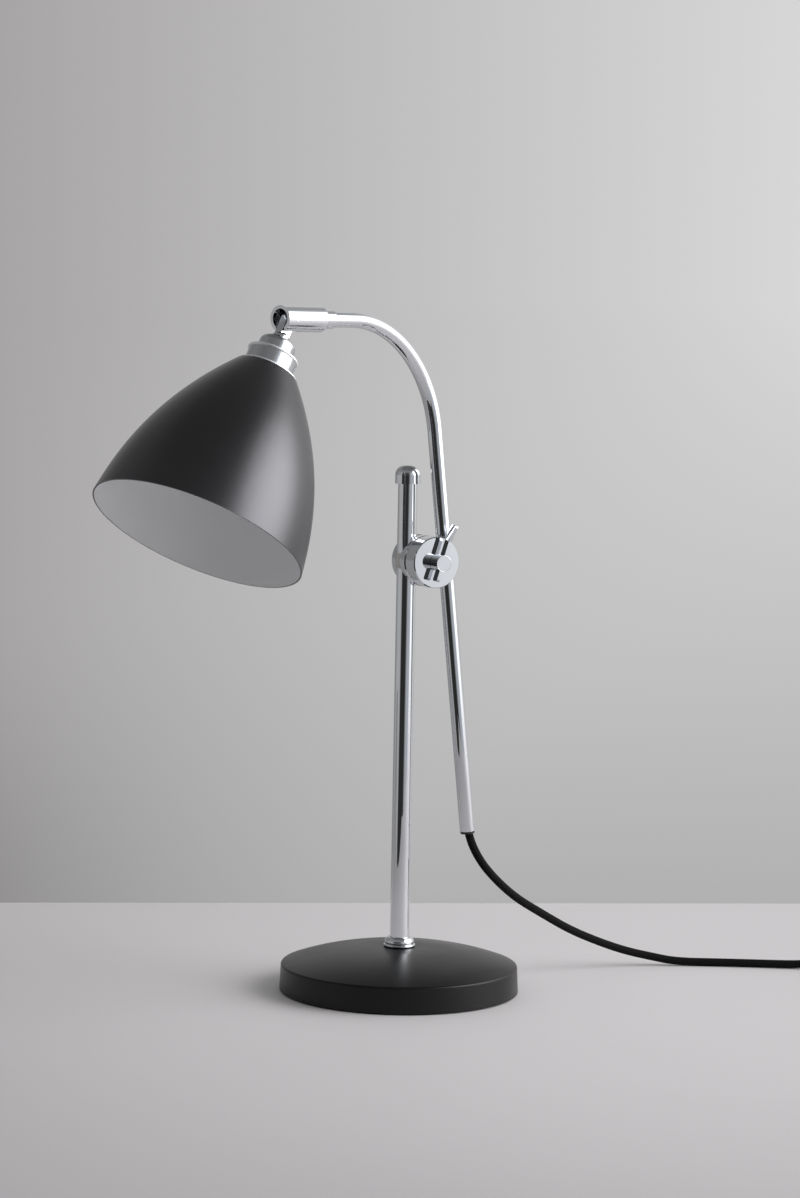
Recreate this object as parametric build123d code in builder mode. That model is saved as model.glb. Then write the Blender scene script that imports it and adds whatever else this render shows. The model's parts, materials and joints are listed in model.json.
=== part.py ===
# Task lamp: weighted base, post, clamped swing arm and a swivelling bullet shade. Millimetres and degrees.
# The origin is on the table under the post, +Z is up and the clamp's lever faces -Y.
import os
from math import atan2, cos, degrees, pi, radians, sin, sqrt, tan
from build123d import *

os.makedirs("parts", exist_ok=True)

# Fits shared by every piece
run_fit = 0.05
slide_fit = 0.15
flex_fit = 0.2
face_gap = 0.3
overrun = 2

# Base and post
base_dia = 160
rim_inset = 0.8
base_side = 18
base_rise = 12
cover_wall = 2
rim_round = 1.5
pad_thick = 3.3
pad_show = 1
weight_clear = 1
boss_dia = 26
stud_dia = 9.9
stud_in_post = 20
nut_recess_dia = 28
nut_recess_roof = 14
nut_thick = 6
nut_across = 17
washer_dia = 24
washer_thick = 1.6
stud_end_bevel = 0.8
post_dia = 13
post_wall = 1.5
post_over = 51
collar_dia = 21.3
collar_ring_high = 2
collar_step = 0.5
collar_neck_dia = 16.2
collar_high = 6.5
collar_bulge = 0.7
cap_dia = 17.2
cap_high = 12.3
cap_round = 6.6
cap_spigot_long = 8

# Clamp
clamp_dia = 34
clamp_height = 289
jaw_gap = 3.9
bush_wall = 0.6
bush_long = 10
rear_skin = 1.55
centre_skin = 2.5
front_skin = 0.9
post_web = 1.57
arm_web = 3
plate_bevel = 0.6
friction_thick = 0.7
friction_inset = 0.8
friction_play = 0.15
clamp_stud_dia = 4
stud_head_dia = 7.8
stud_head_thick = 2.3
lever_lean = 18.5
lever_boss_dia = 10.8
lever_boss_long = 9.5
lever_cap_skin = 2
lever_bar_thick = 2.3
lever_bar_low = 3.4
lever_bar_high = 9.1
lever_tail = 12.5
lever_knee = 15
lever_tip = 26.4
lever_flare = 12
lever_round = 1.6

# Arm
arm_dia = 10
arm_wall = 1
arm_lean = 6.56
arm_swing = 20.5
bend_radius = 80
level_height = 447
level_run = 59.8
arm_foot_height = 108
ferrule_dia = 9.6
ferrule_flange = 1.6
ferrule_spigot = 8

# Swivel
barrel_dia = 16.7
barrel_long = 37.5
barrel_bevel = 1.8
mouth_reach = 8
cavity_dia = 12.4
bearing_long = 10
journal_dia = 9.9
nipple_dia = 12
nipple_long = 8.9
nipple_spigot = 10
ring_thick = 1.5
slot_wide = 6.8
slot_long = 17
pin_dia = 3

# Head, measured along its axis from the cross pin
head_tilt = 30.9
tongue_thick = 5.6
tongue_wide = 8
neck_start = 11.2
neck_bevel = 2
neck_dia = 10.8
neck_spigot_dia = 9.8
neck_spigot_long = 8
cap_start = 16
holder_cap_dia = 23.6
holder_cap_long = 10.3
holder_cap_round = 4.2
holder_cap_roof = 3
holder_wall = 1.4
neck_nut_across = 14
neck_nut_thick = 3.5
bead_stand = 0.8
bead_long = 1.8
skirt_long = 10.9
flange_thick = 1
body_dia = 28.4
body_long = 31.9
body_roof = 7.9
shade_dia = 137
shade_long = 114.8
shade_wall = 1
shade_crown = 3.7
shade_flare = 0.2
shade_power = 2.25
shade_spans = 8
shade_shoulder = 1
shade_ring_rim = 2.6
shade_ring_long = 5
socket_dia = 15.5
socket_wall = 0.55
socket_long = 18
socket_inset = 4
contact_dia = 6.4
contact_thick = 1.5
wire_hole_dia = 6
bulb_cap_dia = 13.8
bulb_cap_long = 22.4
bulb_tip_dia = 5
bulb_tip_long = 1.4
bulb_cap_slope = 2
bulb_dia = 45
bulb_neck_dia = 15
bulb_neck_long = 18.5
bulb_blend = 130
glass_wall = 0.8

# Cord, with its drop and floor run as points chosen along the line that it hangs in
cord_dia = 5.6
bend_share = 0.45
drop_points = [
    (47, -15.2, 86.2), (58.4, -12.1, 72.6), (84.5, -4.3, 58.2), (112, 2.4, 41.8), (138.6, 6.8, 27.4),
    (163.6, 8.3, 16.6), (184.7, 6.8, 9.3), (202.3, 2.6, 4.6), (219, -4.8, 2.8), (247.9, -20.8, 2.8),
    (276.7, -38.6, 2.8), (293, -49.6, 3.1), (309, -60.9, 5.6), (322.6, -70.6, 7.5), (334, -78.9, 7.5),
]
drop_start = 8.6
link_runs = [(10, 0), (13, -1.4), (13, -2.2), (10, 0)]
tail_runs = [(10, 0), (12, -1.2), (12, -1.8), (10, 0)]
coil_dia = 82
coil_halves = 6
coil_gap = 0.5
coil_lift = 1.1
tie_thick = 0.8
tie_wide = 8
tie_clear = 0.4
tie_round = 2
relief_long = 20
relief_dia = 9.6
relief_tip_dia = 6.8

# In-line switch and plug
switch_long = 56
switch_wide = 24
switch_high = 15
switch_round = 6
switch_edge = 1.8
switch_wall = 1.6
switch_cavity = 32
rocker_long = 15
rocker_wide = 9.6
rocker_rest = 8
rocker_pivot_drop = 2.5
rocker_crown = 3.6
rocker_valley = 2.6
rocker_depth = 2.5
rocker_waist = 13
rocker_clear = 0.4
window_long = 16.8
screw_reach = 21
screw_side = 7
screw_dia = 3
screw_head_dia = 5.6
screw_head_thick = 1.4
screw_long = 10
plug_long = 36
plug_wide = 26
plug_high = 14
plug_heel_wide = 13
plug_heel_long = 15
plug_edge = 2.4
pin_spread = 18.6
plug_pin_dia = 4
plug_pin_long = 19
plug_pin_round = 1.4

up = Vector(0, 0, 1)
side_view = Plane.XZ


def save(piece, name):
    piece.part.label = name
    export_step(piece.part, f"parts/{name}.step")


def turned(plane, outline):
    """A solid of revolution about the plane's own Y axis, from (radius, distance) points."""
    with BuildPart() as piece:
        with BuildSketch(plane):
            with BuildLine():
                Polyline(*outline, close=True)
            make_face()
        revolve(axis=Axis(plane.origin, plane.y_dir))
    return piece


def ring(plane, outer_dia, inner_dia, long):
    """A plain tube standing on a plane."""
    with BuildPart() as piece:
        with BuildSketch(plane):
            Circle(outer_dia / 2)
            Circle(inner_dia / 2, mode=Mode.SUBTRACT)
        extrude(amount=long)
    return piece


def hex_nut(plane, across, bore_dia, thick):
    """A plain hexagon nut standing on a plane."""
    with BuildPart() as piece:
        with BuildSketch(plane):
            RegularPolygon(across / 2, side_count=6, major_radius=False)
            Circle(bore_dia / 2, mode=Mode.SUBTRACT)
        extrude(amount=thick)
    return piece


# Base cover: a sloping side, a rounded rim and a shallow dome with a flat seat for the post
rim_dia = base_dia - 2 * rim_inset
dome_z = base_side + base_rise
seat_r = collar_dia / 2 + cover_wall
stud_hole_dia = stud_dia + face_gap
with BuildPart() as base_cover:
    with BuildSketch(side_view) as cover_outline:
        with BuildLine():
            Line((base_dia / 2 - cover_wall, pad_show), (base_dia / 2, pad_show))
            Line((base_dia / 2, pad_show), (rim_dia / 2, base_side))
            TangentArc((seat_r, dome_z), (rim_dia / 2, base_side), tangent=(1, 0))
            Line((seat_r, dome_z), (stud_hole_dia / 2, dome_z))
            Line((stud_hole_dia / 2, dome_z), (stud_hole_dia / 2, dome_z - cover_wall))
            Line((stud_hole_dia / 2, dome_z - cover_wall), (seat_r, dome_z - cover_wall))
            TangentArc(
                (seat_r, dome_z - cover_wall),
                (rim_dia / 2 - cover_wall, base_side - cover_wall),
                tangent=(1, 0),
            )
            Line((rim_dia / 2 - cover_wall, base_side - cover_wall), (base_dia / 2 - cover_wall, pad_show))
        make_face()
        fillet(cover_outline.vertices().sort_by_distance((rim_dia / 2, base_side))[0], radius=rim_round)
    revolve(axis=Axis.Z)
save(base_cover, "base_cover")

# Cast weight, its boss under the cover's seat and its recess for the nut
weight_r = rim_dia / 2 - cover_wall - weight_clear
weight_top = base_side - cover_wall - weight_clear
base_weight = turned(side_view, [
    (stud_hole_dia / 2, nut_recess_roof),
    (nut_recess_dia / 2, nut_recess_roof),
    (nut_recess_dia / 2, pad_thick),
    (weight_r, pad_thick),
    (weight_r, weight_top),
    (boss_dia / 2, weight_top),
    (boss_dia / 2, dome_z - cover_wall),
    (stud_hole_dia / 2, dome_z - cover_wall),
])
save(base_weight, "base_weight")
with BuildPart() as base_pad:
    with BuildSketch(Plane.XY):
        Circle(weight_r - weight_clear)
    extrude(amount=pad_thick)
save(base_pad, "base_pad")

# Post, its stud and the nut that pulls it down through the base
post_top = clamp_height + post_over
save(ring(Plane.XY.offset(dome_z), post_dia, post_dia - 2 * post_wall, post_top - dome_z), "post_tube")
nut_foot = nut_recess_roof - washer_thick - nut_thick
with BuildPart() as post_stud:
    with BuildSketch(Plane.XY.offset(nut_foot)):
        Circle(stud_dia / 2)
    extrude(amount=dome_z + stud_in_post - nut_foot)
    chamfer(post_stud.edges().filter_by(GeomType.CIRCLE), length=stud_end_bevel)
save(post_stud, "post_stud")
washer_plane = Plane.XY.offset(nut_recess_roof - washer_thick)
save(ring(washer_plane, washer_dia, stud_hole_dia, washer_thick), "stud_washer")
save(hex_nut(Plane.XY.offset(nut_foot), nut_across, stud_dia + 2 * run_fit, nut_thick), "stud_nut")

# Collar at the post's foot: a thin ring under a bulging neck
collar_bore = post_dia / 2 + run_fit
ring_top = dome_z + collar_ring_high
with BuildPart() as post_collar:
    with BuildSketch(side_view):
        with BuildLine():
            Polyline(
                (collar_neck_dia / 2, dome_z + collar_high),
                (collar_bore, dome_z + collar_high),
                (collar_bore, dome_z),
                (collar_dia / 2, dome_z),
                (collar_dia / 2, ring_top),
                (collar_dia / 2 - collar_step, ring_top),
            )
            SagittaArc(
                (collar_dia / 2 - collar_step, ring_top),
                (collar_neck_dia / 2, dome_z + collar_high),
                collar_bulge,
            )
        make_face()
    revolve(axis=Axis.Z)
save(post_collar, "post_collar")

# Cap on the post, with a spigot in the tube
spigot_r = post_dia / 2 - post_wall - run_fit
with BuildPart() as post_cap:
    with BuildSketch(side_view) as cap_outline:
        with BuildLine():
            Polyline(
                (0, post_top - cap_spigot_long),
                (spigot_r, post_top - cap_spigot_long),
                (spigot_r, post_top),
                (cap_dia / 2, post_top),
                (cap_dia / 2, post_top + cap_high),
                (0, post_top + cap_high),
                close=True,
            )
        make_face()
        fillet(cap_outline.vertices().sort_by_distance((cap_dia / 2, post_top + cap_high))[0], radius=cap_round)
    revolve(axis=Axis.Z)
save(post_cap, "post_cap")

# Clamp layout: three round plates on a stud, the post between the rear two and the arm in the front one
post_bore_dia = post_dia + slide_fit
post_bush_dia = post_dia + 2 * (run_fit + bush_wall)
post_pocket_dia = post_bush_dia + 2 * run_fit
arm_bore_dia = arm_dia + slide_fit
arm_bush_dia = arm_dia + 2 * (run_fit + bush_wall)
arm_pocket_dia = arm_bush_dia + 2 * run_fit
clamp_hole_dia = clamp_stud_dia + face_gap
clamp_x = (post_bore_dia + clamp_hole_dia) / 2 + post_web
arm_x = clamp_x + (arm_bore_dia + clamp_hole_dia) / 2 + arm_web
rear_face_y = post_pocket_dia / 2 + rear_skin
centre_face_y = -post_pocket_dia / 2 - centre_skin
friction_face_y = centre_face_y - friction_thick
front_back_y = friction_face_y - friction_play
arm_y = front_back_y - arm_bush_dia / 2 - friction_play
front_face_y = arm_y - arm_pocket_dia / 2 - front_skin


def clamp_face(y):
    return Plane(origin=(clamp_x, y, clamp_height), x_dir=(1, 0, 0), z_dir=(0, -1, 0))


def clamp_plate(back_y, front_y):
    """A round plate with bevelled edges and the stud's hole."""
    with BuildPart() as piece:
        with BuildSketch(clamp_face(back_y)):
            Circle(clamp_dia / 2)
        extrude(amount=back_y - front_y)
        chamfer(piece.edges().filter_by(GeomType.CIRCLE), length=plate_bevel)
        with BuildSketch(clamp_face(back_y)):
            Circle(clamp_hole_dia / 2)
        extrude(amount=back_y - front_y, mode=Mode.SUBTRACT)
    return piece


# The room that the post and its bush take out of the rear two plates
pocket_long = bush_long + 2 * run_fit
with BuildPart() as post_seat:
    for seat_dia, seat_long in ((post_bore_dia, clamp_dia + overrun), (post_pocket_dia, pocket_long)):
        with BuildSketch(Plane.XY.offset(clamp_height - seat_long / 2)):
            Circle(seat_dia / 2)
        extrude(amount=seat_long)

rear_plate = clamp_plate(rear_face_y, jaw_gap / 2)
with BuildPart() as clamp_rear_jaw:
    add(rear_plate.part)
    add(post_seat.part, mode=Mode.SUBTRACT)
    with BuildSketch(clamp_face(rear_face_y)):
        Circle(stud_head_dia / 2 + run_fit)
    extrude(amount=stud_head_thick + run_fit, mode=Mode.SUBTRACT)
save(clamp_rear_jaw, "clamp_rear_jaw")

centre_plate = clamp_plate(-jaw_gap / 2, centre_face_y)
with BuildPart() as clamp_centre_block:
    add(centre_plate.part)
    add(post_seat.part, mode=Mode.SUBTRACT)
save(clamp_centre_block, "clamp_centre_block")

friction_dia = clamp_dia - 2 * friction_inset
save(ring(clamp_face(centre_face_y), friction_dia, clamp_hole_dia, friction_thick), "friction_disc")
bush_plane = Plane.XY.offset(clamp_height - bush_long / 2)
save(ring(bush_plane, post_bush_dia, post_dia + 2 * run_fit, bush_long), "post_bush")

# Stud with its flat head let into the rear jaw
lever_back_y = front_face_y - face_gap
stud_end_y = lever_back_y - lever_boss_long + lever_cap_skin
with BuildPart() as clamp_stud:
    with BuildSketch(clamp_face(rear_face_y)):
        Circle(stud_head_dia / 2)
    extrude(amount=stud_head_thick)
    with BuildSketch(clamp_face(rear_face_y)):
        Circle(clamp_stud_dia / 2)
    extrude(amount=rear_face_y - stud_end_y)
save(clamp_stud, "clamp_stud")

# Lever nut: a round boss with a short tail and a long wing that flares off the plate
lever_cos = cos(radians(lever_lean))
lever_sin = sin(radians(lever_lean))
lever_plane = Plane(
    origin=(clamp_x, front_face_y, clamp_height),
    x_dir=(lever_sin, 0, lever_cos),
    z_dir=(lever_cos, 0, -lever_sin),
)
flare_rise = (lever_tip - lever_knee) * tan(radians(lever_flare))
with BuildPart() as lever_nut:
    with BuildSketch(lever_plane) as bar_outline:
        with BuildLine():
            Polyline(
                (-lever_tail, lever_bar_low),
                (lever_knee, lever_bar_low),
                (lever_tip, lever_bar_low + flare_rise),
                (lever_tip, lever_bar_high + flare_rise),
                (lever_knee, lever_bar_high),
                (-lever_tail, lever_bar_high),
                close=True,
            )
        make_face()
        fillet(bar_outline.vertices(), radius=lever_round)
    extrude(amount=lever_bar_thick / 2, both=True)
    with BuildSketch(clamp_face(lever_back_y)):
        Circle(lever_boss_dia / 2)
    extrude(amount=lever_boss_long)
    with BuildSketch(clamp_face(lever_back_y)):
        Circle(clamp_stud_dia / 2 + run_fit)
    extrude(amount=lever_boss_long - lever_cap_skin + face_gap, mode=Mode.SUBTRACT)
save(lever_nut, "lever_nut")

# Arm line: up the leaning straight, round one bend to level, then out to the cross pin
arm_up = Vector(-sin(radians(arm_lean)), 0, cos(radians(arm_lean)))
out = Vector(-cos(radians(arm_swing)), -sin(radians(arm_swing)), 0)
bend_turn = radians(arm_up.get_angle(out))
inward = (out - arm_up * arm_up.dot(out)).normalized()
bend_reach = arm_up * (bend_radius * sin(bend_turn)) + inward * (bend_radius * (1 - cos(bend_turn)))
arm_at_clamp = Vector(arm_x, arm_y, clamp_height)
arm_foot = arm_at_clamp - arm_up * ((clamp_height - arm_foot_height) / arm_up.Z)
bend_start = arm_at_clamp + arm_up * ((level_height - bend_reach.Z - clamp_height) / arm_up.Z)
bend_end = bend_start + bend_reach
pivot = bend_end + out * level_run
barrel_back = barrel_long - mouth_reach
nipple_back = barrel_back + face_gap + nipple_long
arm_end = pivot - out * nipple_back
arm_section = Plane(origin=arm_at_clamp, x_dir=(0, 1, 0), z_dir=arm_up)

# Front jaw, with a slot for the arm that is open towards the friction disc
with BuildPart() as arm_seat:
    for seat_dia, seat_long in ((arm_bore_dia, clamp_dia + overrun), (arm_pocket_dia, pocket_long)):
        seat_reach = front_back_y - arm_y + overrun
        with BuildSketch(arm_section):
            Circle(seat_dia / 2)
            with Locations((seat_reach / 2, 0)):
                Rectangle(seat_reach, seat_dia)
        extrude(amount=seat_long / 2, both=True)

front_plate = clamp_plate(front_back_y, front_face_y)
with BuildPart() as clamp_front_jaw:
    add(front_plate.part)
    add(arm_seat.part, mode=Mode.SUBTRACT)
save(clamp_front_jaw, "clamp_front_jaw")
save(ring(arm_section.offset(-bush_long / 2), arm_bush_dia, arm_dia + 2 * run_fit, bush_long), "arm_bush")

# Bent tube and the flex inside it
arm_bore = arm_dia - 2 * arm_wall
with BuildPart() as arm_tube:
    with BuildLine():
        Line(arm_foot, bend_start)
        TangentArc(bend_start, bend_end, tangent=arm_up)
        Line(bend_end, arm_end)
    with BuildSketch(Plane(origin=arm_foot, z_dir=arm_up)):
        Circle(arm_dia / 2)
        Circle(arm_bore / 2, mode=Mode.SUBTRACT)
    sweep()
save(arm_tube, "arm_tube")

cord_exit = arm_foot - arm_up * ferrule_flange
flex_end = pivot - out * (barrel_back - bearing_long - ring_thick)
with BuildPart() as inner_flex:
    with BuildLine():
        Line(cord_exit, bend_start)
        TangentArc(bend_start, bend_end, tangent=arm_up)
        Line(bend_end, flex_end)
    with BuildSketch(Plane(origin=cord_exit, z_dir=arm_up)):
        Circle(cord_dia / 2)
    sweep()
save(inner_flex, "inner_flex")

# Ferrule in the arm's lower end
flex_hole_dia = cord_dia + flex_fit
ferrule_side = Plane(origin=arm_foot, x_dir=(0, 1, 0), z_dir=Vector(0, 1, 0).cross(arm_up))
arm_ferrule = turned(ferrule_side, [
    (flex_hole_dia / 2, -ferrule_flange),
    (ferrule_dia / 2, -ferrule_flange),
    (ferrule_dia / 2, 0),
    (arm_bore / 2 - run_fit, 0),
    (arm_bore / 2 - run_fit, ferrule_spigot),
    (flex_hole_dia / 2, ferrule_spigot),
])
save(arm_ferrule, "arm_ferrule")

# Nipple on the arm's end: a spigot in the tube, a collar and the journal that the barrel turns on
pin_dir = out.cross(up)
swivel_side = Plane(origin=pivot, x_dir=pin_dir, z_dir=pin_dir.cross(out))
journal_end = barrel_back - bearing_long - face_gap - ring_thick
arm_nipple = turned(swivel_side, [
    (flex_hole_dia / 2, -nipple_back - nipple_spigot),
    (arm_bore / 2 - run_fit, -nipple_back - nipple_spigot),
    (arm_bore / 2 - run_fit, -nipple_back),
    (nipple_dia / 2, -nipple_back),
    (nipple_dia / 2, -barrel_back - face_gap),
    (journal_dia / 2, -barrel_back - face_gap),
    (journal_dia / 2, -journal_end),
    (flex_hole_dia / 2, -journal_end),
])
save(arm_nipple, "arm_nipple")
across_barrel = Plane(origin=pivot, x_dir=pin_dir, z_dir=out)
ring_plane = across_barrel.offset(-journal_end - ring_thick)
save(ring(ring_plane, cavity_dia - 2 * face_gap, journal_dia + run_fit, ring_thick), "nipple_ring")

# Swivel barrel, slotted underneath for the head's tongue
with BuildPart() as swivel_barrel:
    with BuildSketch(across_barrel.offset(-barrel_back)):
        Circle(barrel_dia / 2)
    extrude(amount=barrel_long)
    rear_edge = swivel_barrel.edges().filter_by(GeomType.CIRCLE).sort_by(Axis(pivot, out))[0]
    chamfer(rear_edge, length=barrel_bevel)
    with BuildSketch(across_barrel.offset(-barrel_back)):
        Circle(journal_dia / 2 + run_fit)
    extrude(amount=bearing_long, mode=Mode.SUBTRACT)
    with BuildSketch(across_barrel.offset(bearing_long - barrel_back)):
        Circle(cavity_dia / 2)
    extrude(amount=barrel_long - bearing_long, mode=Mode.SUBTRACT)
    slot_deep = barrel_dia / 2 + overrun
    with BuildSketch(across_barrel.offset(mouth_reach - slot_long)):
        with Locations((0, slot_deep / 2)):
            Rectangle(slot_wide, slot_deep)
    extrude(amount=slot_long, mode=Mode.SUBTRACT)
    with BuildSketch(Plane(origin=pivot, z_dir=pin_dir)):
        Circle(pin_dia / 2)
    extrude(amount=barrel_dia / 2, both=True, mode=Mode.SUBTRACT)
save(swivel_barrel, "swivel_barrel")
pin_half = sqrt((barrel_dia / 2) ** 2 - (pin_dia / 2) ** 2) - run_fit
with BuildPart() as head_pin:
    with BuildSketch(Plane(origin=pivot, z_dir=pin_dir)):
        Circle(pin_dia / 2)
    extrude(amount=pin_half, both=True)
save(head_pin, "head_pin")

# Head axis, from the cross pin down through the shade
down = out * sin(radians(head_tilt)) - up * cos(radians(head_tilt))
head_side = Plane(origin=pivot, x_dir=pin_dir, z_dir=pin_dir.cross(down))
across_head = Plane(origin=pivot, x_dir=pin_dir, z_dir=down)

# Knuckle: a tongue on the pin, a bevelled neck and a spigot into the holder cap
spigot_end = cap_start + neck_spigot_long
with BuildPart() as head_knuckle:
    with BuildSketch(Plane(origin=pivot, x_dir=down, z_dir=pin_dir)):
        Circle(tongue_wide / 2)
        with Locations(((neck_start + neck_bevel) / 2, 0)):
            Rectangle(neck_start + neck_bevel, tongue_wide)
        Circle(pin_dia / 2 + run_fit, mode=Mode.SUBTRACT)
    extrude(amount=tongue_thick / 2, both=True)
    with BuildSketch(head_side):
        with BuildLine():
            Polyline(
                (0, neck_start),
                (neck_dia / 2 - neck_bevel, neck_start),
                (neck_dia / 2, neck_start + neck_bevel),
                (neck_dia / 2, cap_start),
                (neck_spigot_dia / 2, cap_start),
                (neck_spigot_dia / 2, spigot_end),
                (0, spigot_end),
                close=True,
            )
        make_face()
    revolve(axis=Axis(pivot, down))
save(head_knuckle, "head_knuckle")

# Stepped holder cover in three turned pieces, with the nut that holds it on the neck
cap_end = cap_start + holder_cap_long
bead_end = cap_end + bead_long
skirt_dia = body_dia + 2 * (face_gap + holder_wall)
bead_dia = skirt_dia + 2 * bead_stand
shade_top = bead_end + skirt_long
cap_bore_r = neck_spigot_dia / 2 + run_fit
with BuildPart() as holder_cap:
    with BuildSketch(head_side) as holder_outline:
        with BuildLine():
            Polyline(
                (cap_bore_r, cap_start),
                (holder_cap_dia / 2, cap_start),
                (holder_cap_dia / 2, cap_end),
                (holder_cap_dia / 2 - holder_wall, cap_end),
                (holder_cap_dia / 2 - holder_wall, cap_start + holder_cap_roof),
                (cap_bore_r, cap_start + holder_cap_roof),
                close=True,
            )
        make_face()
        cap_corner = holder_outline.vertices().sort_by_distance((holder_cap_dia / 2, cap_start))[0]
        fillet(cap_corner, radius=holder_cap_round)
    revolve(axis=Axis(pivot, down))
save(holder_cap, "holder_cap")
nut_plane = across_head.offset(cap_start + holder_cap_roof)
save(hex_nut(nut_plane, neck_nut_across, neck_spigot_dia + 2 * run_fit, neck_nut_thick), "neck_nut")

bead_bore = holder_cap_dia / 2 - holder_wall
with BuildPart() as holder_bead:
    with BuildSketch(head_side):
        with BuildLine():
            Polyline(
                (bead_dia / 2 - bead_long / 2, cap_end),
                (bead_bore, cap_end),
                (bead_bore, bead_end),
                (bead_dia / 2 - bead_long / 2, bead_end),
            )
            ThreePointArc(
                (bead_dia / 2 - bead_long / 2, bead_end),
                (bead_dia / 2, (cap_end + bead_end) / 2),
                (bead_dia / 2 - bead_long / 2, cap_end),
            )
        make_face()
    revolve(axis=Axis(pivot, down))
save(holder_bead, "holder_bead")
shade_ring_dia = body_dia + 2 * shade_ring_rim
shade_top_dia = shade_ring_dia + 2 * shade_crown
flange_dia = shade_top_dia - 2 * shade_shoulder
skirt_bore = skirt_dia / 2 - holder_wall
holder_skirt = turned(head_side, [
    (skirt_bore, bead_end),
    (skirt_dia / 2, bead_end),
    (skirt_dia / 2, shade_top - flange_thick),
    (flange_dia / 2, shade_top - flange_thick),
    (flange_dia / 2, shade_top),
    (skirt_bore, shade_top),
])
save(holder_skirt, "holder_skirt")

# Bullet shade: one taper formula outside and inside, with a rounded shoulder and a hole for the lampholder
shade_mouth = shade_top + shade_long
body_hole_dia = body_dia + face_gap
bulge_share = 1 - shade_flare - shade_top_dia / shade_dia


def shade_line(mouth_r, long):
    points = []
    for span in range(shade_spans + 1):
        share = span / shade_spans
        drawn_in = shade_flare * share + bulge_share * share ** shade_power
        points.append((mouth_r * (1 - drawn_in), shade_mouth - long * share))
    return points


outer_line = shade_line(shade_dia / 2, shade_long)
inner_line = shade_line(shade_dia / 2 - shade_wall, shade_long - shade_wall)
with BuildPart() as shade:
    with BuildSketch(head_side) as shade_outline:
        with BuildLine():
            Spline(*outer_line)
            Polyline(
                outer_line[-1],
                (body_hole_dia / 2, shade_top),
                (body_hole_dia / 2, shade_top + shade_wall),
                inner_line[-1],
            )
            Spline(*inner_line)
            Line(inner_line[0], outer_line[0])
        make_face()
        fillet(shade_outline.vertices().sort_by_distance(outer_line[-1])[0], radius=shade_shoulder)
    revolve(axis=Axis(pivot, down))
save(shade, "shade")

# Lampholder through the shade, its clamping ring, socket and lamp
body_end = bead_end + body_long
socket_floor = bead_end + body_roof
lampholder_body = turned(head_side, [
    (wire_hole_dia / 2, bead_end),
    (body_dia / 2, bead_end),
    (body_dia / 2, body_end),
    (socket_dia / 2 + run_fit, body_end),
    (socket_dia / 2 + run_fit, socket_floor),
    (wire_hole_dia / 2, socket_floor),
])
save(lampholder_body, "lampholder_body")
ring_seat = across_head.offset(shade_top + shade_wall)
save(ring(ring_seat, shade_ring_dia, body_dia + 2 * run_fit, shade_ring_long), "shade_ring")
shell_plane = across_head.offset(socket_floor + socket_inset)
save(ring(shell_plane, socket_dia, socket_dia - 2 * socket_wall, socket_long), "socket_shell")
with BuildPart() as centre_contact:
    with BuildSketch(across_head.offset(socket_floor)):
        Circle(contact_dia / 2)
    extrude(amount=contact_thick)
save(centre_contact, "centre_contact")

lamp_start = socket_floor + contact_thick
glass_start = lamp_start + bulb_cap_long
bulb_cap = turned(head_side, [
    (0, lamp_start),
    (bulb_tip_dia / 2, lamp_start),
    (bulb_tip_dia / 2, lamp_start + bulb_tip_long),
    (bulb_cap_dia / 2, lamp_start + bulb_tip_long + bulb_cap_slope),
    (bulb_cap_dia / 2, glass_start),
    (0, glass_start),
])
save(bulb_cap, "bulb_cap")
globe_r = bulb_dia / 2
blend_r = globe_r * sin(radians(bulb_blend))
blend_at = glass_start + bulb_neck_long
globe_at = blend_at - globe_r * cos(radians(bulb_blend))
globe_dir = (-cos(radians(bulb_blend)), sin(radians(bulb_blend)))
with BuildPart() as bulb_glass:
    with BuildSketch(head_side):
        with BuildLine():
            Line((0, glass_start), (bulb_neck_dia / 2, glass_start))
            Spline((bulb_neck_dia / 2, glass_start), (blend_r, blend_at), tangents=((0, 1), globe_dir))
            ThreePointArc((blend_r, blend_at), (globe_r, globe_at), (0, globe_at + globe_r))
            Line((0, globe_at + globe_r), (0, glass_start))
        make_face()
    revolve(axis=Axis(pivot, down))
    neck_face = bulb_glass.faces().filter_by(GeomType.PLANE)
    offset(amount=-glass_wall, openings=neck_face)
save(bulb_glass, "bulb_glass")


# Cord: straight runs joined by the largest arcs that they leave room for
def cord_tube(name, points):
    points = [Vector(*point) for point in points]
    radii = []
    for before, corner, after in zip(points, points[1:], points[2:]):
        turn = radians((corner - before).get_angle(after - corner))
        radii.append(bend_share * min((corner - before).length, (after - corner).length) / tan(turn / 2))
    with BuildPart() as tube:
        with BuildLine() as route:
            FilletPolyline(*points, radius=radii)
        with BuildSketch(Plane(origin=points[0], z_dir=points[1] - points[0])):
            Circle(cord_dia / 2)
        sweep()
    save(tube, name)
    length = route.wire().length
    section = pi * cord_dia ** 2 / 4
    print(name, "radii", [round(radius) for radius in radii], "length", round(length, 1),
          "volume over section times length", round(tube.part.volume / (section * length), 4))


cord_tube("cord_drop", [cord_exit, cord_exit - arm_up * drop_start] + drop_points)

# Pieces on the cord lie in one line past the end of the floor run
floor_end = Vector(*drop_points[-1])
along = (floor_end - Vector(*drop_points[-2])).normalized()
left = up.cross(along)


def relief(name, tip, axis):
    """A tapered strain relief, from its tip on the cord to its housing."""
    with BuildPart() as piece:
        with BuildSketch(Plane(origin=tip, z_dir=axis)):
            Circle(relief_tip_dia / 2)
        with BuildSketch(Plane(origin=tip + axis * relief_long, z_dir=axis)):
            Circle(relief_dia / 2)
        loft()
    save(piece, name)


def stepped(start, axis, runs):
    """Points from a start, each (distance, rise) further along an axis."""
    points = [start]
    for run, rise in runs:
        points.append(points[-1] + axis * run + up * rise)
    return points


switch_start = floor_end + along * relief_long
switch_mid = switch_start + along * (switch_long / 2)
link_start = switch_start + along * (switch_long + relief_long)
relief("relief_in", floor_end, along)
relief("relief_out", link_start, along * -1)
link_points = stepped(link_start, along, link_runs)
cord_tube("cord_link", link_points)

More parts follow.
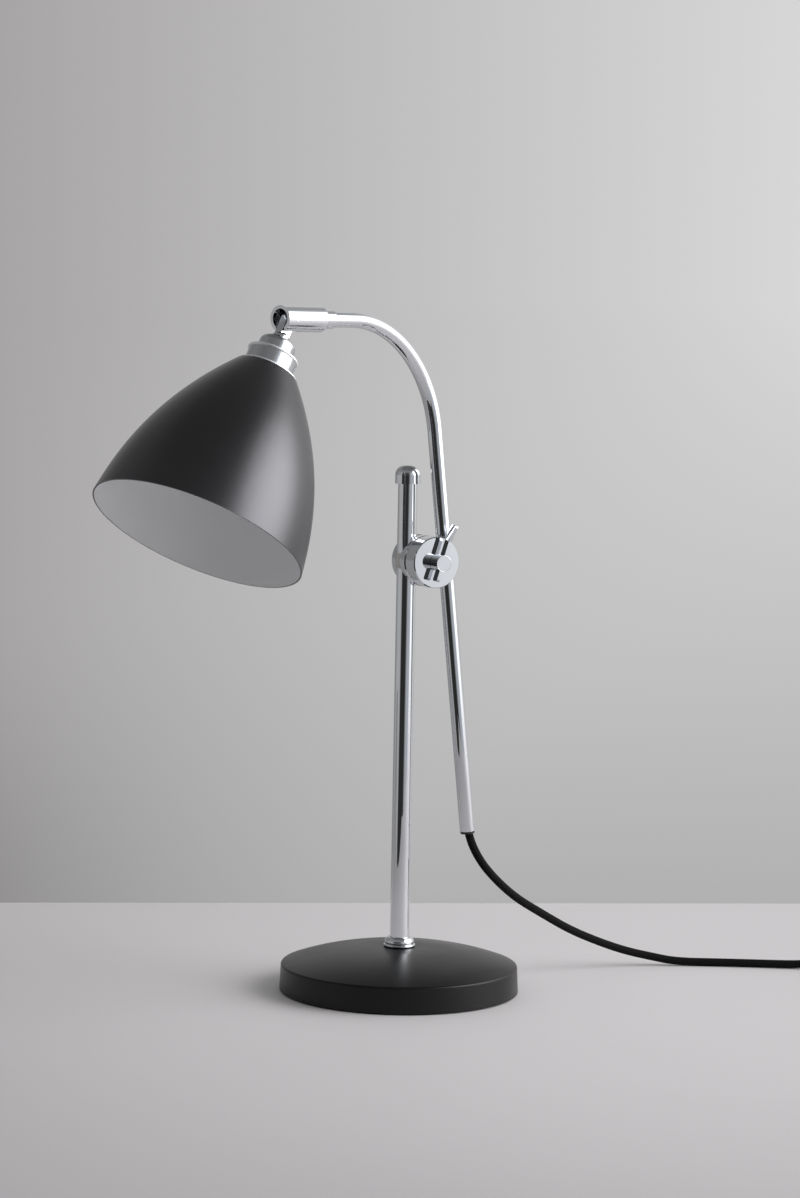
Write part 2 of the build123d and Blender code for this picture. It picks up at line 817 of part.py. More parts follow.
# Switch housing in two halves that meet at the cord's height
switch_floor = Plane(origin=(switch_mid.X, switch_mid.Y, 0), x_dir=along, z_dir=up)
split_z = floor_end.Z


def screw_places():
    return Locations((screw_reach, screw_side), (-screw_reach, -screw_side))


with BuildPart() as switch_base:
    with BuildSketch(switch_floor):
        RectangleRounded(switch_long, switch_wide, switch_round)
    extrude(amount=split_z)
    chamfer(switch_base.faces().sort_by(Axis.Z)[0].edges(), length=switch_edge / 2)
    with BuildSketch(switch_floor.offset(switch_wall)):
        Rectangle(switch_cavity, switch_wide - 2 * switch_wall)
    extrude(amount=split_z, mode=Mode.SUBTRACT)
    with BuildSketch(switch_floor):
        with screw_places():
            Circle(screw_dia / 2 + run_fit)
    extrude(amount=split_z, mode=Mode.SUBTRACT)
    with BuildSketch(switch_floor):
        with screw_places():
            Circle(screw_head_dia / 2 + run_fit)
    extrude(amount=face_gap + screw_head_thick, mode=Mode.SUBTRACT)
save(switch_base, "switch_base")

cover_room = switch_high - switch_wall - split_z
with BuildPart() as switch_cover:
    with BuildSketch(switch_floor.offset(split_z)):
        RectangleRounded(switch_long, switch_wide, switch_round)
    extrude(amount=switch_high - split_z)
    fillet(switch_cover.faces().sort_by(Axis.Z)[-1].edges(), radius=switch_edge)
    with BuildSketch(switch_floor.offset(split_z)):
        Rectangle(switch_cavity, switch_wide - 2 * switch_wall)
    extrude(amount=cover_room, mode=Mode.SUBTRACT)
    with BuildSketch(switch_floor.offset(split_z)):
        Rectangle(window_long, rocker_wide + 2 * rocker_clear)
    extrude(amount=switch_high, mode=Mode.SUBTRACT)
    with BuildSketch(switch_floor.offset(split_z)):
        with screw_places():
            Circle(screw_dia / 2 + run_fit)
    extrude(amount=face_gap + screw_head_thick + screw_long - split_z, mode=Mode.SUBTRACT)
save(switch_cover, "switch_cover")

for label, side in (("front", 1), ("rear", -1)):
    screw_at = switch_floor.from_local_coords((side * screw_reach, side * screw_side, face_gap))
    with BuildPart() as switch_screw:
        with BuildSketch(Plane(origin=screw_at)):
            Circle(screw_head_dia / 2)
        extrude(amount=screw_head_thick)
        with BuildSketch(Plane(origin=screw_at)):
            Circle(screw_dia / 2)
        extrude(amount=screw_head_thick + screw_long - face_gap)
    save(switch_screw, f"switch_screw_{label}")

# Rocker, resting on one side of its pivot
rocker_pivot = Vector(switch_mid.X, switch_mid.Y, switch_high - rocker_pivot_drop)
rocker_along = along * cos(radians(rocker_rest)) + up * sin(radians(rocker_rest))
rocker_plane = Plane(origin=rocker_pivot, x_dir=rocker_along, z_dir=along.cross(up))
with BuildPart() as switch_rocker:
    with BuildSketch(rocker_plane):
        with BuildLine():
            Polyline(
                (-rocker_long / 2, rocker_crown),
                (0, rocker_valley),
                (rocker_long / 2, rocker_crown),
                (rocker_waist / 2, -rocker_depth),
                (-rocker_waist / 2, -rocker_depth),
                close=True,
            )
        make_face()
    extrude(amount=rocker_wide / 2, both=True)
save(switch_rocker, "switch_rocker")

# Coil: two layers of half circles, in on the lower one, up in the reversing half turn and out on the upper one
coil_step = cord_dia + coil_gap
coil_low = coil_lift + cord_dia / 2
coil_start = link_points[-1] + along * cord_dia
coil_mid = Vector(coil_start.X, coil_start.Y, coil_low) + left * (coil_dia / 2)
coil_plane = Plane(origin=coil_mid, x_dir=left * -1, z_dir=up)
coil_angle = degrees(atan2(-left.Y, -left.X))


def coil_point(x, y, z):
    return coil_plane.from_local_coords(Vector(x, y, z))


with BuildPart() as cord_coil:
    with BuildLine() as coil_route:
        reach = coil_dia / 2
        Line(link_points[-1], coil_point(reach, 0, 0))
        for half in range(coil_halves):
            side = half % 2
            CenterArc(coil_point(-side * coil_step / 2, 0, 0), reach, coil_angle + 180 * side, 180)
            reach -= coil_step / 2
        top_of_climb = coil_point(0, sqrt(reach ** 2 + (coil_step / 2) ** 2), coil_step / 2)
        climb = TangentArc(coil_point(reach, 0, 0), top_of_climb, tangent=along)
        TangentArc(top_of_climb, coil_point(-reach, 0, coil_step), tangent=climb % 1)
        for half in range(coil_halves):
            side = (half + 1) % 2
            reach += coil_step / 2
            CenterArc(coil_point(side * coil_step / 2, 0, coil_step), reach, coil_angle + 180 * side, 180)
        tail_start = coil_point(-reach, -cord_dia, coil_step)
        Line(coil_point(-reach, 0, coil_step), tail_start)
    with BuildSketch(Plane(origin=link_points[-1], z_dir=along)):
        Circle(cord_dia / 2)
    sweep()
save(cord_coil, "cord_coil")

coil_wire = coil_route.wire()
samples = 700
spots = [coil_wire @ (count / samples) for count in range(samples + 1)]
apart = int(samples * pi * cord_dia / coil_wire.length)
least = min(
    (spots[near] - spots[far]).length
    for near in range(samples + 1)
    for far in range(near + apart, samples + 1)
)
coil_section = pi * cord_dia ** 2 / 4
print("cord_coil least gap", round(least - cord_dia, 2), "length", round(coil_wire.length, 1),
      "volume over section times length", round(cord_coil.part.volume / (coil_section * coil_wire.length), 4))

# Tie round the bundle, under it and over it
tie_inner_reach = coil_dia / 2 - coil_halves * coil_step / 2 - cord_dia / 2 - tie_clear
tie_outer_reach = coil_dia / 2 + cord_dia / 2 + tie_clear
tie_roof = coil_lift + cord_dia + coil_step + tie_clear
tie_room_wide = tie_outer_reach - tie_inner_reach
tie_room_high = tie_roof - tie_thick
tie_at = coil_plane.from_local_coords(Vector(0, (tie_inner_reach + tie_outer_reach) / 2, 0))
tie_plane = Plane(
    origin=(tie_at.X, tie_at.Y, tie_thick + tie_room_high / 2),
    x_dir=along,
    z_dir=left,
)
with BuildPart() as cord_tie:
    with BuildSketch(tie_plane):
        RectangleRounded(tie_room_wide + 2 * tie_thick, tie_room_high + 2 * tie_thick, tie_round + tie_thick)
        RectangleRounded(tie_room_wide, tie_room_high, tie_round, mode=Mode.SUBTRACT)
    extrude(amount=tie_wide / 2, both=True)
save(cord_tie, "cord_tie")

# Tail and plug, back beside the coil
back = along * -1
tail_points = stepped(tail_start, back, tail_runs)
cord_tube("cord_tail", tail_points)
plug_tip = tail_points[-1]
relief("plug_relief", plug_tip, back)
plug_start = plug_tip + back * relief_long
plug_floor = Plane(origin=(plug_start.X, plug_start.Y, plug_start.Z - plug_high / 2), x_dir=back, z_dir=up)
with BuildPart() as plug_body:
    with BuildSketch(plug_floor):
        with BuildLine():
            Polyline(
                (0, plug_heel_wide / 2),
                (plug_heel_long, plug_wide / 2),
                (plug_long, plug_wide / 2),
                (plug_long, -plug_wide / 2),
                (plug_heel_long, -plug_wide / 2),
                (0, -plug_heel_wide / 2),
                close=True,
            )
        make_face()
    extrude(amount=plug_high)
    fillet(plug_body.edges().filter_by(Axis.Z), radius=plug_edge)
    fillet(plug_body.faces().sort_by(Axis.Z)[-1].edges(), radius=plug_edge / 2)
save(plug_body, "plug_body")
for label, side in (("left", 1), ("right", -1)):
    pin_at = plug_floor.from_local_coords(Vector(plug_long, side * pin_spread / 2, plug_high / 2))
    with BuildPart() as plug_pin:
        with BuildSketch(Plane(origin=pin_at, z_dir=back)):
            Circle(plug_pin_dia / 2)
        extrude(amount=plug_pin_long)
        fillet(plug_pin.edges().filter_by(GeomType.CIRCLE).sort_by(Axis(pin_at, back))[-1], radius=plug_pin_round)
    save(plug_pin, f"plug_pin_{label}")
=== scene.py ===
import json
from math import cos, floor, pi, radians, sin
import bpy
from mathutils import Matrix, Vector


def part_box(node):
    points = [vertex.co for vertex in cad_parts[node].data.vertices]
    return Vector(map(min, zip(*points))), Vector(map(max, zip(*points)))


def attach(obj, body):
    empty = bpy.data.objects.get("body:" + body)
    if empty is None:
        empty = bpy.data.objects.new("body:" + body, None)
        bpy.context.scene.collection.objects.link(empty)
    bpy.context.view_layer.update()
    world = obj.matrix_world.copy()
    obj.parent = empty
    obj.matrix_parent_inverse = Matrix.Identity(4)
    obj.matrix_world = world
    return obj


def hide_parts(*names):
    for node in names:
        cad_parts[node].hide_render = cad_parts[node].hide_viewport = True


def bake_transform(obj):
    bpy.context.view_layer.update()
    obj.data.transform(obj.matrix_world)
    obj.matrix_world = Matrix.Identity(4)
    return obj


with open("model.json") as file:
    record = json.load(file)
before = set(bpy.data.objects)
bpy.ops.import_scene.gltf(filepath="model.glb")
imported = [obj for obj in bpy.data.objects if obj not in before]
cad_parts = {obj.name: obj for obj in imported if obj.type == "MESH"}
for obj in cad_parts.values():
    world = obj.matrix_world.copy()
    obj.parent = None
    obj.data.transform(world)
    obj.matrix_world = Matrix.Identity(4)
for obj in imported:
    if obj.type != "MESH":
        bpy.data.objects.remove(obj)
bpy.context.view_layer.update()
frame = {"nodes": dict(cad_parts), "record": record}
nodes = frame["nodes"]
scene = bpy.context.scene
scene.view_settings.view_transform = "Standard"
up = Vector((0, 0, 1))
mm = 0.001

# camera, where the picture was taken from
cameraView = {
    "place": (-1.0086, -1.8419, 0.4429),
    "right": (0.87859, -0.47723, 0.01843),  # tips up a little, the picture leans by a degree
    "up": (0.02456, 0.08368, 0.99619),
    "lens": 95.41,
    "sensor": 36.0,  # on the picture's tall side
    "clip": (0.05, 50),
}


def makeCamera(look):
    camera = bpy.data.objects.new("camera", bpy.data.cameras.new("camera"))
    scene.collection.objects.link(camera)
    right, top = Vector(look["right"]).normalized(), Vector(look["up"]).normalized()
    back = right.cross(top).normalized()
    turn = Matrix((right, back.cross(right), back)).transposed().to_4x4()
    camera.matrix_world = Matrix.Translation(look["place"]) @ turn
    camera.data.lens = look["lens"]
    camera.data.sensor_width = look["sensor"]
    camera.data.clip_start, camera.data.clip_end = look["clip"]
    scene.camera = camera


makeCamera(cameraView)
toCamera = Vector((-0.4787, -0.878, 0))  # level directions as the lamp sees them
toRight = Vector((0.878, -0.4787, 0))
print("camera set")


# shader building blocks

def link(tree, fromSocket, toSocket):
    tree.links.new(fromSocket, toSocket)


def addNode(tree, kind, **values):
    node = tree.nodes.new(kind)
    for key, value in values.items():
        setattr(node, key, value)
    return node


def calc(tree, operation, first, second=None):
    node = addNode(tree, "ShaderNodeMath", operation=operation)
    for slot, value in enumerate((first, second)):
        if value is None:
            continue
        if isinstance(value, (int, float)):
            node.inputs[slot].default_value = value
        else:
            link(tree, value, node.inputs[slot])
    return node.outputs[0]


def spread(tree, source, low, high, outLow=0.0, outHigh=1.0, smooth=True):
    node = addNode(tree, "ShaderNodeMapRange")
    node.interpolation_type = "SMOOTHSTEP" if smooth else "LINEAR"
    link(tree, source, node.inputs["Value"])
    for key, value in (("From Min", low), ("From Max", high), ("To Min", outLow), ("To Max", outHigh)):
        node.inputs[key].default_value = value
    return node.outputs[0]


def newGroup(name, ins, outs):
    group = bpy.data.node_groups.new(name, "ShaderNodeTree")
    for label, start in ins:
        socket = group.interface.new_socket(label, in_out="INPUT", socket_type="NodeSocketFloat")
        socket.default_value = start
    for label in outs:
        group.interface.new_socket(label, in_out="OUTPUT", socket_type="NodeSocketFloat")
    return group, group.nodes.new("NodeGroupInput"), group.nodes.new("NodeGroupOutput")


def dotWith(tree, source, axis):
    node = addNode(tree, "ShaderNodeVectorMath", operation="DOT_PRODUCT")
    node.inputs[1].default_value = axis
    link(tree, source, node.inputs[0])
    return node.outputs["Value"]


def objectPlace(tree):
    return addNode(tree, "ShaderNodeTexCoord").outputs["Object"]


def addNoise(tree, place, size, detail):
    noise = addNode(tree, "ShaderNodeTexNoise")
    noise.inputs["Detail"].default_value = detail
    link(tree, place, noise.inputs["Vector"])
    link(tree, size, noise.inputs["Scale"])
    return noise


def blendColours(tree, share, low, high):
    mix = addNode(tree, "ShaderNodeMix", data_type="RGBA")
    for socket, value in (("Factor", share), ("A", low), ("B", high)):
        if isinstance(value, tuple):
            mix.inputs[socket].default_value = (*value, 1)
        else:
            link(tree, value, mix.inputs[socket])
    return mix.outputs["Result"]


# sprayed paint: fine orange peel, and a slow drift in gloss
sprayLook = {"peelDetail": 3, "driftDetail": 4, "drift": (0.32, 0.68),
             "speckDetail": 1, "speckFiner": 3.1, "speckShare": 0.35}


def makePaintGrain(look):
    group, gin, gout = newGroup("paintGrain", [("Peel Size", 900.0), ("Drift Size", 14.0)], ["Peel", "Drift"])
    place, peelSize = objectPlace(group), gin.outputs["Peel Size"]
    peel = addNoise(group, place, peelSize, look["peelDetail"])
    drift = addNoise(group, place, gin.outputs["Drift Size"], look["driftDetail"])
    speck = addNoise(group, place, calc(group, "MULTIPLY", peelSize, look["speckFiner"]), look["speckDetail"])
    fine = calc(group, "MULTIPLY", speck.outputs[0], look["speckShare"])
    link(group, calc(group, "ADD", peel.outputs[0], fine), gout.inputs["Peel"])
    link(group, spread(group, drift.outputs[0], *look["drift"]), gout.inputs["Drift"])
    return group


# hand-polished plating: cloudy smears, and hairline scratches that run two ways, each a turn and a stretch
polishLook = {"smearDetail": 5, "smearRough": 0.62, "smear": (0.42, 0.72), "hairDetail": 2, "hair": (0.66, 0.74),
              "ways": (((0.3, 0.2, 0.5), (1, 26, 1)), ((1.1, 0.4, 2.0), (30, 1, 1.5)))}


def makePolishMarks(look):
    group, gin, gout = newGroup("polishMarks", [("Smear Size", 22.0), ("Hair Size", 130.0)], ["Smear", "Hair"])
    place = objectPlace(group)
    smear = addNoise(group, place, gin.outputs["Smear Size"], look["smearDetail"])
    smear.inputs["Roughness"].default_value = look["smearRough"]
    link(group, spread(group, smear.outputs[0], *look["smear"]), gout.inputs["Smear"])
    hairs = []
    for turn, stretch in look["ways"]:
        mapping = addNode(group, "ShaderNodeMapping")
        mapping.inputs["Rotation"].default_value = turn
        mapping.inputs["Scale"].default_value = stretch
        link(group, place, mapping.inputs["Vector"])
        noise = addNoise(group, mapping.outputs[0], gin.outputs["Hair Size"], look["hairDetail"])
        hairs.append(spread(group, noise.outputs[0], *look["hair"]))
    link(group, calc(group, "MAXIMUM", hairs[0], hairs[1]), gout.inputs["Hair"])
    return group


# rings left by the turning tool, along one axis of the lamp
latheLook = {"ringDetail": 2, "bandSize": 420, "bands": (0.35, 0.65)}


def makeLatheLines(look, axis):
    group, gin, gout = newGroup("latheLines", [("Ring Size", 2600.0)], ["Rings", "Bands"])
    travel = dotWith(group, objectPlace(group), axis)
    fine = addNode(group, "ShaderNodeTexNoise", noise_dimensions="1D")
    wide = addNode(group, "ShaderNodeTexNoise", noise_dimensions="1D")
    fine.inputs["Detail"].default_value = look["ringDetail"]
    link(group, gin.outputs["Ring Size"], fine.inputs["Scale"])
    wide.inputs["Scale"].default_value = look["bandSize"]
    for noise in (fine, wide):
        link(group, travel, noise.inputs["W"])
    link(group, fine.outputs[0], gout.inputs["Rings"])
    link(group, spread(group, wide.outputs[0], *look["bands"]), gout.inputs["Bands"])
    return group


# moulded plastic and rubber: a fine spark-eroded skin with faint flow clouds
mouldLook = {"cloudDetail": 4, "cloud": (0.3, 0.7)}


def makeMouldGrain(look):
    group, gin, gout = newGroup("mouldGrain", [("Grain Size", 1400.0), ("Cloud Size", 60.0)], ["Grain", "Cloud"])
    place = objectPlace(group)
    cell = addNode(group, "ShaderNodeTexVoronoi")
    link(group, place, cell.inputs["Vector"])
    link(group, gin.outputs["Grain Size"], cell.inputs["Scale"])
    cloud = addNoise(group, place, gin.outputs["Cloud Size"], look["cloudDetail"])
    link(group, cell.outputs["Distance"], gout.inputs["Grain"])
    link(group, spread(group, cloud.outputs[0], *look["cloud"]), gout.inputs["Cloud"])
    return group


# two families of yarn crossing on the cord, from its own length and turn coordinates, with painted shade darkening
# the valleys between the yarns
weaveLook = {"crossings": 3.0, "threads": 9.0, "threadLift": 0.12, "valleyShade": (0.1, 0.95),
             "aboveZero": 1000.0}  # an even count that keeps the cells positive


def makeBraidWeave(look):
    group, gin, gout = newGroup("braidWeave", [("Yarns", 12.0), ("Pitch", 5.2)], ["Height", "Valley Shade"])
    parts = addNode(group, "ShaderNodeSeparateXYZ")
    link(group, addNode(group, "ShaderNodeTexCoord").outputs["UV"], parts.inputs[0])
    turn = calc(group, "MULTIPLY", parts.outputs["Y"], gin.outputs["Yarns"])
    travel = calc(group, "DIVIDE", calc(group, "MULTIPLY", parts.outputs["X"], 1 / mm), gin.outputs["Pitch"])
    travel = calc(group, "MULTIPLY", travel, look["crossings"])
    first = calc(group, "ADD", turn, travel)
    second = calc(group, "SUBTRACT", turn, travel)
    waveA = calc(group, "ABSOLUTE", calc(group, "SINE", calc(group, "MULTIPLY", first, pi)))
    waveB = calc(group, "ABSOLUTE", calc(group, "SINE", calc(group, "MULTIPLY", second, pi)))
    cells = calc(group, "ADD", calc(group, "FLOOR", first), calc(group, "FLOOR", second))
    over = calc(group, "MODULO", calc(group, "ADD", cells, look["aboveZero"]), 2.0)
    under = calc(group, "SUBTRACT", 1.0, over)
    height = calc(group, "ADD", calc(group, "MULTIPLY", waveA, over), calc(group, "MULTIPLY", waveB, under))
    thread = calc(group, "MULTIPLY", calc(group, "ADD", first, second), look["threads"] * pi)
    fine = calc(group, "MULTIPLY", calc(group, "SINE", thread), look["threadLift"])
    link(group, calc(group, "ADD", height, fine), gout.inputs["Height"])
    link(group, spread(group, height, *look["valleyShade"]), gout.inputs["Valley Shade"])
    return group


headAxis = Vector((-0.48102, -0.17985, -0.85806))
paintGrain = makePaintGrain(sprayLook)
polishMarks = makePolishMarks(polishLook)
latheLines = makeLatheLines(latheLook, headAxis)
mouldGrain = makeMouldGrain(mouldLook)
braidWeave = makeBraidWeave(weaveLook)
print("shader groups built")


def newFinish(name, **plain):
    finish = bpy.data.materials.new(name)
    finish.use_nodes = True
    tree = finish.node_tree
    shader = tree.nodes["Principled BSDF"]
    for key, value in plain.items():
        socket = shader.inputs[key.replace("_", " ")]
        socket.default_value = (*value, 1) if isinstance(value, tuple) else value
    return finish, tree, shader


def placeGroup(tree, group, **values):
    node = addNode(tree, "ShaderNodeGroup", node_tree=group)
    for key, value in values.items():
        node.inputs[key.replace("_", " ")].default_value = value
    return node


def bumpFrom(tree, shader, height, distance):
    bump = addNode(tree, "ShaderNodeBump")
    bump.inputs["Distance"].default_value = distance
    bump.inputs["Strength"].default_value = 1.0
    link(tree, height, bump.inputs["Height"])
    link(tree, bump.outputs[0], shader.inputs["Normal"])


def colourBetween(tree, shader, mask, low, high):
    link(tree, blendColours(tree, mask, low, high), shader.inputs["Base Color"])


def paintFinish(name, look):
    finish, tree, shader = newFinish(name, Specular_IOR_Level=look["gloss"], Specular_Tint=look["glint"])
    grain = placeGroup(tree, paintGrain, Peel_Size=look["peelSize"], Drift_Size=look["driftSize"])
    colourBetween(tree, shader, grain.outputs["Drift"], look["dark"], look["light"])
    link(tree, spread(tree, grain.outputs["Drift"], 0, 1, *look["rough"]), shader.inputs["Roughness"])
    bumpFrom(tree, shader, grain.outputs["Peel"], look["peelDeep"])
    return finish


def platedFinish(name, look):
    finish, tree, shader = newFinish(name, Metallic=1.0)
    marks = placeGroup(tree, polishMarks, Smear_Size=look["smearSize"], Hair_Size=look["hairSize"])
    colourBetween(tree, shader, marks.outputs["Smear"], look["clean"], look["smeared"])
    smear = calc(tree, "MULTIPLY", marks.outputs["Smear"], look["rough"][1] - look["rough"][0])
    hair = calc(tree, "MULTIPLY", marks.outputs["Hair"], look["hairRough"])
    rough = calc(tree, "ADD", calc(tree, "ADD", smear, hair), look["rough"][0])
    height, deep = calc(tree, "SUBTRACT", 1.0, marks.outputs["Hair"]), look.get("hairDeep")
    if "ringDeep" in look:
        lines = placeGroup(tree, latheLines, Ring_Size=look["ringSize"])
        rough = calc(tree, "ADD", rough, calc(tree, "MULTIPLY", lines.outputs["Bands"], look["bandRough"]))
        height = calc(tree, "ADD", lines.outputs["Rings"], calc(tree, "MULTIPLY", height, look["hairShare"]))
        deep = look["ringDeep"]
    link(tree, rough, shader.inputs["Roughness"])
    bumpFrom(tree, shader, height, deep)
    return finish


def mouldedFinish(name, look):
    finish, tree, shader = newFinish(name, Specular_IOR_Level=look["gloss"], Metallic=look.get("metal", 0.0))
    grain = placeGroup(tree, mouldGrain, Grain_Size=look["grainSize"], Cloud_Size=look["cloudSize"])
    colourBetween(tree, shader, grain.outputs["Cloud"], look["dark"], look["light"])
    link(tree, spread(tree, grain.outputs["Cloud"], 0, 1, *look["rough"]), shader.inputs["Roughness"])
    bumpFrom(tree, shader, grain.outputs["Grain"], look["grainDeep"])
    return finish


def braidFinish(name, look):
    finish, tree, shader = newFinish(name, Specular_IOR_Level=look["gloss"], Sheen_Weight=look["sheen"],
                                     Sheen_Roughness=look["sheenRough"], Roughness=look["rough"])
    weave = placeGroup(tree, braidWeave, Yarns=look["yarns"], Pitch=look["pitch"])
    # painted shade: the braid's valleys take the darker colour, its crests the lighter
    colourBetween(tree, shader, weave.outputs["Valley Shade"], look["deep"], look["crest"])
    bumpFrom(tree, shader, weave.outputs["Height"], look["relief"])
    return finish


blackPaint = {"dark": (0.006, 0.0056, 0.006), "light": (0.008, 0.0075, 0.008), "rough": (0.30, 0.34),
              "gloss": 0.96, "glint": (0.95, 0.94, 1.0), "peelSize": 950.0, "driftSize": 11.0, "peelDeep": 0.00001}
footPaint = {"dark": (0.0042, 0.0042, 0.0044), "light": (0.006, 0.006, 0.0062), "rough": (0.30, 0.36),
             "gloss": 0.28, "glint": (1.0, 0.985, 1.0), "peelSize": 1250.0, "driftSize": 16.0, "peelDeep": 0.000016}
innerPaint = {"dark": (0.87, 0.875, 0.89), "light": (0.90, 0.905, 0.92), "rough": (0.5, 0.58),
              "gloss": 0.4, "glint": (1.0, 1.0, 1.0), "peelSize": 800.0, "driftSize": 20.0, "peelDeep": 0.00001}
polished = {"clean": (0.71, 0.725, 0.75), "smeared": (0.665, 0.68, 0.705), "rough": (0.02, 0.05),
            "hairRough": 0.015, "hairDeep": 0.0000008, "smearSize": 24.0, "hairSize": 140.0}
satinTurned = {"clean": (0.60, 0.612, 0.632), "smeared": (0.56, 0.572, 0.59), "rough": (0.12, 0.17),
               "hairRough": 0.04, "hairShare": 0.2, "smearSize": 40.0, "hairSize": 160.0,
               "ringSize": 2600.0, "ringDeep": 0.000006, "bandRough": 0.06}
# rolled edges: chrome made lighter than the rest, a painted highlight so the bead and the flange lip read as bright
# lines
rolledRimPaintedHighlight = {"clean": (0.96, 0.965, 0.98), "smeared": (0.93, 0.935, 0.95), "rough": (0.50, 0.56),
             "hairRough": 0.04, "hairDeep": 0.000001, "smearSize": 40.0, "hairSize": 160.0}
plainSteel = {"clean": (0.5, 0.5, 0.51), "smeared": (0.4, 0.4, 0.41), "rough": (0.24, 0.36),
              "hairRough": 0.08, "hairDeep": 0.000004, "smearSize": 60.0, "hairSize": 120.0}
rawBrass = {"clean": (0.78, 0.57, 0.27), "smeared": (0.66, 0.46, 0.21), "rough": (0.16, 0.3),
            "hairRough": 0.06, "hairDeep": 0.000003, "smearSize": 70.0, "hairSize": 150.0}
lampCap = {"clean": (0.72, 0.72, 0.72), "smeared": (0.6, 0.6, 0.6), "rough": (0.22, 0.34),
           "hairRough": 0.06, "hairDeep": 0.000003, "smearSize": 80.0, "hairSize": 150.0}
blackPhenolic = {"dark": (0.008, 0.008, 0.008), "light": (0.014, 0.0135, 0.013), "rough": (0.3, 0.42),
                 "gloss": 0.5, "grainSize": 1500.0, "cloudSize": 55.0, "grainDeep": 0.000012}
blackRubber = {"dark": (0.012, 0.012, 0.012), "light": (0.022, 0.022, 0.022), "rough": (0.62, 0.76),
               "gloss": 0.35, "grainSize": 1100.0, "cloudSize": 70.0, "grainDeep": 0.00003}
paleAcetal = {"dark": (0.52, 0.52, 0.5), "light": (0.6, 0.6, 0.58), "rough": (0.4, 0.5),
              "gloss": 0.45, "grainSize": 1200.0, "cloudSize": 60.0, "grainDeep": 0.00001}
castIron = {"dark": (0.06, 0.06, 0.06), "light": (0.12, 0.118, 0.115), "rough": (0.6, 0.8),
            "gloss": 0.4, "grainSize": 500.0, "cloudSize": 40.0, "grainDeep": 0.0002}
footFoam = {"dark": (0.02, 0.02, 0.02), "light": (0.035, 0.035, 0.034), "rough": (0.85, 0.95),
            "gloss": 0.2, "grainSize": 700.0, "cloudSize": 30.0, "grainDeep": 0.00025}
opalGlass = {"dark": (0.84, 0.84, 0.82), "light": (0.88, 0.88, 0.86), "rough": (0.1, 0.16),
             "gloss": 0.5, "grainSize": 220.0, "cloudSize": 35.0, "grainDeep": 0.000004}
# deep is painted shade in the yarn valleys, crest the colour of the yarn tops
blackBraid = {"deep": (0.0025, 0.0024, 0.0023), "crest": (0.0046, 0.0044, 0.0042), "rough": 0.78, "gloss": 0.14,
              "sheen": 0.01, "sheenRough": 0.45, "yarns": 12.0, "pitch": 5.2, "relief": 0.00012}

shadeOutside = paintFinish("shadeBlack", blackPaint)
shadeInside = paintFinish("shadeInnerPale", innerPaint)
baseBlack = paintFinish("baseBlack", footPaint)
chrome = platedFinish("polishedChrome", polished)
turnedChrome = platedFinish("turnedChrome", satinTurned)
rimChromePaintedHighlight = platedFinish("rimChromePaintedHighlight", rolledRimPaintedHighlight)
steel = platedFinish("plainSteel", plainSteel)
brass = platedFinish("rawBrass", rawBrass)
capMetal = platedFinish("lampCapMetal", lampCap)
phenolic = mouldedFinish("blackPhenolic", blackPhenolic)
rubber = mouldedFinish("blackRubber", blackRubber)
acetal = mouldedFinish("paleAcetal", paleAcetal)
iron = mouldedFinish("castIron", castIron)
foam = mouldedFinish("footFoam", footFoam)
opal = mouldedFinish("opalGlass", opalGlass)
braid = braidFinish("blackBraid", blackBraid)
print("finishes built")

# what each CAD piece wears
finishOf = {
    "base_cover": baseBlack, "base_weight": iron, "base_pad": foam, "post_tube": chrome, "post_stud": steel,
    "stud_washer": steel, "stud_nut": steel, "post_collar": chrome, "post_cap": chrome, "clamp_rear_jaw": chrome,
    "clamp_centre_block": chrome, "friction_disc": phenolic, "post_bush": acetal, "clamp_stud": steel,
    "lever_nut": chrome, "clamp_front_jaw": chrome, "arm_bush": acetal, "arm_tube": chrome, "inner_flex": rubber,
    "arm_ferrule": phenolic, "arm_nipple": chrome, "nipple_ring": steel, "swivel_barrel": chrome,
    "head_pin": steel, "head_knuckle": turnedChrome, "holder_cap": turnedChrome, "neck_nut": steel,
    "holder_bead": rimChromePaintedHighlight, "holder_skirt": turnedChrome, "shade": shadeOutside, "lampholder_body": phenolic,
    "shade_ring": phenolic, "socket_shell": brass, "centre_contact": brass, "bulb_cap": capMetal,
    "bulb_glass": opal, "switch_base": phenolic, "switch_cover": phenolic, "switch_screw_front": steel,
    "switch_screw_rear": steel, "switch_rocker": phenolic, "cord_tie": rubber, "plug_body": phenolic,
    "plug_pin_left": brass, "plug_pin_right": brass,
}
for name, finish in finishOf.items():
    mesh = nodes[name].data
    mesh.materials.clear()
    mesh.materials.append(finish)


def paintInside(mesh, axisAt, axis):
    # faces of the shade that look at its axis take the pale coat, and the edge stays black
    mesh.materials.append(shadeInside)
    for face in mesh.polygons:
        arm = face.center - axisAt
        outward = arm - axis * arm.dot(axis)
        face.material_index = 1 if face.normal.dot(outward) < -inwardLean * outward.length else 0


inwardLean = 0.3
pinCentre = Vector((-0.121, -0.0625, 0.447))
paintInside(nodes["shade"].data, pinCentre, headAxis)
print("CAD pieces dressed")


sharpFrom = radians(50)


